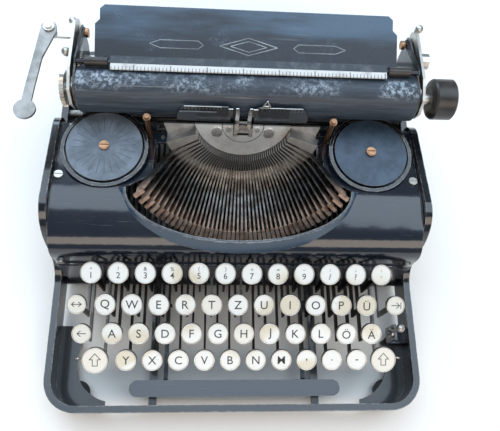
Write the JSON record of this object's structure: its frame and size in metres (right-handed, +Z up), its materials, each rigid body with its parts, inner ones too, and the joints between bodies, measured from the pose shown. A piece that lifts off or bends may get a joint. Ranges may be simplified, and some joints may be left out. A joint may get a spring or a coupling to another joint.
{
  "type": "typewriter",
  "caption": "Portable mechanical typewriter with an open type basket, round ringed keys, ribbon spools, sliding carriage with rubber platen, paper bail and return lever.",
  "frame": {"origin": "on the table, at the centre of the body's footprint", "axes": "+Z up, +Y away from the typist, +X to the typist's right, along the platen"},
  "size_m": [0.3142, 0.284, 0.139],
  "materials": {
    "lacquer": "gloss",
    "steel": "satin",
    "dark_steel": "satin",
    "nickel": "polished",
    "rubber": "matte",
    "platen_rubber": "matte",
    "ebonite": "gloss",
    "key_white": "gloss",
    "segment": "matte",
    "copper": "satin",
    "spool": "matte"
  },
  "bodies": {
    "frame": {"base_frame": "lacquer", "basket_apron": "lacquer", "basket_lip": "lacquer", "bell": "nickel", "card_holders": "lacquer", "carriage_rails": "steel", "cover_screws": "nickel", "frame_bars": "lacquer", "key_comb": "lacquer", "key_levers": "dark_steel", "key_rings": "nickel", "key_tops": "key_white", "lever_brackets": "lacquer", "lever_shaft": "steel", "ribbon_posts": "copper", "rubber_feet": "rubber", "segment_plate": "segment", "segment_screws": "nickel", "segment_wire": "steel", "spool_cups": "lacquer", "spool_studs": "nickel", "top_cover": "lacquer", "type_guide": "steel", "type_segment": "segment", "typebars": "dark_steel"},
    "carriage": {"carriage_bed": "lacquer", "carriage_bearings": "steel", "carriage_ends": "nickel", "carriage_fittings": "nickel", "clamp_nut": "nickel"},
    "lift": {"lift_frame": "lacquer", "paper_table": "lacquer"},
    "platen_turn": {"platen": "platen_rubber", "platen_shaft": "steel", "platen_knob": "ebonite", "platen_ratchet": "steel"},
    "feed_roll": {"feed_roller": "rubber"},
    "bail": {"paper_bail": "nickel", "bail_sleeves": "ebonite", "bail_scale": "key_white"},
    "return_arm": {"return_lever": "nickel"},
    "line_space": {"line_space_lever": "nickel"},
    "paper_release": {"paper_release_lever": "nickel"},
    "carriage_release": {"carriage_release_lever": "nickel"},
    "margin_left": {"margin_stop_left": "lacquer"},
    "margin_right": {"margin_stop_right": "lacquer"},
    "spool_left": {"ribbon_spool_left": "spool"},
    "spool_right": {"ribbon_spool_right": "spool"},
    "space": {"space_bar": "ebonite", "space_bar_arms": "dark_steel"},
    "shift": {"shift_keys": "dark_steel"},
    "margin_button": {"margin_key": "dark_steel"},
    "back_button": {"back_key": "dark_steel"},
    "tab_button": {"tab_key": "dark_steel"},
    "button_h": {"key_h": "dark_steel"},
    "button_t": {"key_t": "dark_steel"},
    "bar_h": {"typebar_h": "dark_steel"},
    "bar_t": {"typebar_t": "dark_steel"},
    "selector": {"ribbon_selector": "nickel"},
    "drum": {"spring_drum": "steel"}
  },
  "joints": [
    {"name": "carriage_travel", "type": "slide", "parent": "frame", "child": "carriage", "axis": [1, 0, 0], "range_m": [-0.1, 0.1]},
    {"name": "shift_lift", "type": "slide", "parent": "carriage", "child": "lift", "axis": [0, 0, 1], "range_m": [0, 0.0065]},
    {"name": "platen_turn", "type": "hinge", "parent": "lift", "child": "platen_turn", "pos_m": [0, 0.076, 0.1185], "axis": [1, 0, 0], "continuous": true},
    {"name": "feed_roll_turn", "type": "hinge", "parent": "lift", "child": "feed_roll", "pos_m": [0, 0.08564, 0.09784], "axis": [1, 0, 0], "continuous": true},
    {"name": "bail_swing", "type": "hinge", "parent": "lift", "child": "bail", "pos_m": [0, 0.123, 0.1195], "axis": [-1, 0, 0], "range_deg": [0, 75]},
    {"name": "return_swing", "type": "hinge", "parent": "carriage", "child": "return_arm", "pos_m": [-0.1405, 0.122, 0.1245], "axis": [0, 0, 1], "range_deg": [0, 17], "stiffness_Nm_per_rad": 0.05, "springref_deg": -5.73},
    {"name": "line_space_set", "type": "hinge", "parent": "carriage", "child": "line_space", "pos_m": [-0.1229, 0.1, 0.1045], "axis": [1, 0, 0], "range_deg": [-10, 10]},
    {"name": "paper_release_pull", "type": "hinge", "parent": "carriage", "child": "paper_release", "pos_m": [-0.1229, 0.124, 0.0965], "axis": [-1, 0, 0], "range_deg": [0, 15]},
    {"name": "carriage_release_pull", "type": "hinge", "parent": "carriage", "child": "carriage_release", "pos_m": [0.1339, 0.124, 0.1045], "axis": [-1, 0, 0], "range_deg": [0, 15], "stiffness_Nm_per_rad": 0.05, "springref_deg": -5.73},
    {"name": "margin_left_slide", "type": "slide", "parent": "carriage", "child": "margin_left", "axis": [1, 0, 0], "range_m": [-0.019, 0.09]},
    {"name": "margin_right_slide", "type": "slide", "parent": "carriage", "child": "margin_right", "axis": [1, 0, 0], "range_m": [-0.09, 0.019]},
    {"name": "spool_left_turn", "type": "hinge", "parent": "frame", "child": "spool_left", "pos_m": [-0.099, 0.041, 0.09], "axis": [0, 0, 1], "continuous": true},
    {"name": "spool_right_turn", "type": "hinge", "parent": "frame", "child": "spool_right", "pos_m": [0.099, 0.041, 0.09], "axis": [0, 0, 1], "continuous": true},
    {"name": "space_press", "type": "hinge", "parent": "frame", "child": "space", "pos_m": [0, -0.06, 0.016], "axis": [1, 0, 0], "range_deg": [0, 6], "stiffness_Nm_per_rad": 1, "springref_deg": -5.73},
    {"name": "shift_press", "type": "hinge", "parent": "frame", "child": "shift", "pos_m": [0, 0.096, 0.024], "axis": [1, 0, 0], "range_deg": [0, 2.2], "stiffness_Nm_per_rad": 12, "springref_deg": -11.46},
    {"name": "margin_press", "type": "hinge", "parent": "frame", "child": "margin_button", "pos_m": [0, 0.096, 0.024], "axis": [1, 0, 0], "range_deg": [0, 2.4], "stiffness_Nm_per_rad": 2, "springref_deg": -2.86},
    {"name": "back_press", "type": "hinge", "parent": "frame", "child": "back_button", "pos_m": [0, 0.096, 0.024], "axis": [1, 0, 0], "range_deg": [0, 2.4], "stiffness_Nm_per_rad": 2, "springref_deg": -2.86},
    {"name": "tab_press", "type": "hinge", "parent": "frame", "child": "tab_button", "pos_m": [0, 0.096, 0.024], "axis": [1, 0, 0], "range_deg": [0, 2.4], "stiffness_Nm_per_rad": 2, "springref_deg": -2.86},
    {"name": "key_h_press", "type": "hinge", "parent": "frame", "child": "button_h", "pos_m": [0, 0.096, 0.024], "axis": [1, 0, 0], "range_deg": [0, 3.43], "stiffness_Nm_per_rad": 2, "springref_deg": -2.86},
    {"name": "key_t_press", "type": "hinge", "parent": "frame", "child": "button_t", "pos_m": [0, 0.096, 0.024], "axis": [-1, 0, 0], "range_deg": [-3.84, 0], "stiffness_Nm_per_rad": 2, "springref_deg": 2.86},
    {"name": "typebar_h_swing", "type": "hinge", "parent": "frame", "child": "bar_h", "pos_m": [0.00274, 0.0335, 0.07432], "axis": [-0.9998, -0.0086, -0.0185], "range_deg": [0, 134]},
    {"name": "typebar_t_swing", "type": "hinge", "parent": "frame", "child": "bar_t", "pos_m": [-0.00766, 0.03386, 0.07509], "axis": [0.983, -0.0776, -0.1664], "range_deg": [-134, 0]},
    {"name": "ribbon_selector_set", "type": "hinge", "parent": "frame", "child": "selector", "pos_m": [0.122, -0.0845, 0.036], "axis": [1, 0, 0], "range_deg": [-12, 12]},
    {"name": "spring_drum_turn", "type": "hinge", "parent": "frame", "child": "drum", "pos_m": [-0.105, 0.118, 0.036], "axis": [0, 0, 1], "range_deg": [-320, 320]}
  ],
  "couplings": [
    {"joint": "shift_lift", "follows": "shift_press", "m_per_rad": 0.16927},
    {"joint": "feed_roll_turn", "follows": "platen_turn", "ratio": -2.75},
    {"joint": "spool_right_turn", "follows": "spool_left_turn", "ratio": 1.3},
    {"joint": "typebar_h_swing", "follows": "key_h_press", "ratio": 39.066},
    {"joint": "typebar_t_swing", "follows": "key_t_press", "ratio": 34.895},
    {"joint": "spring_drum_turn", "follows": "carriage_travel", "rad_per_m": -55}
  ]
}
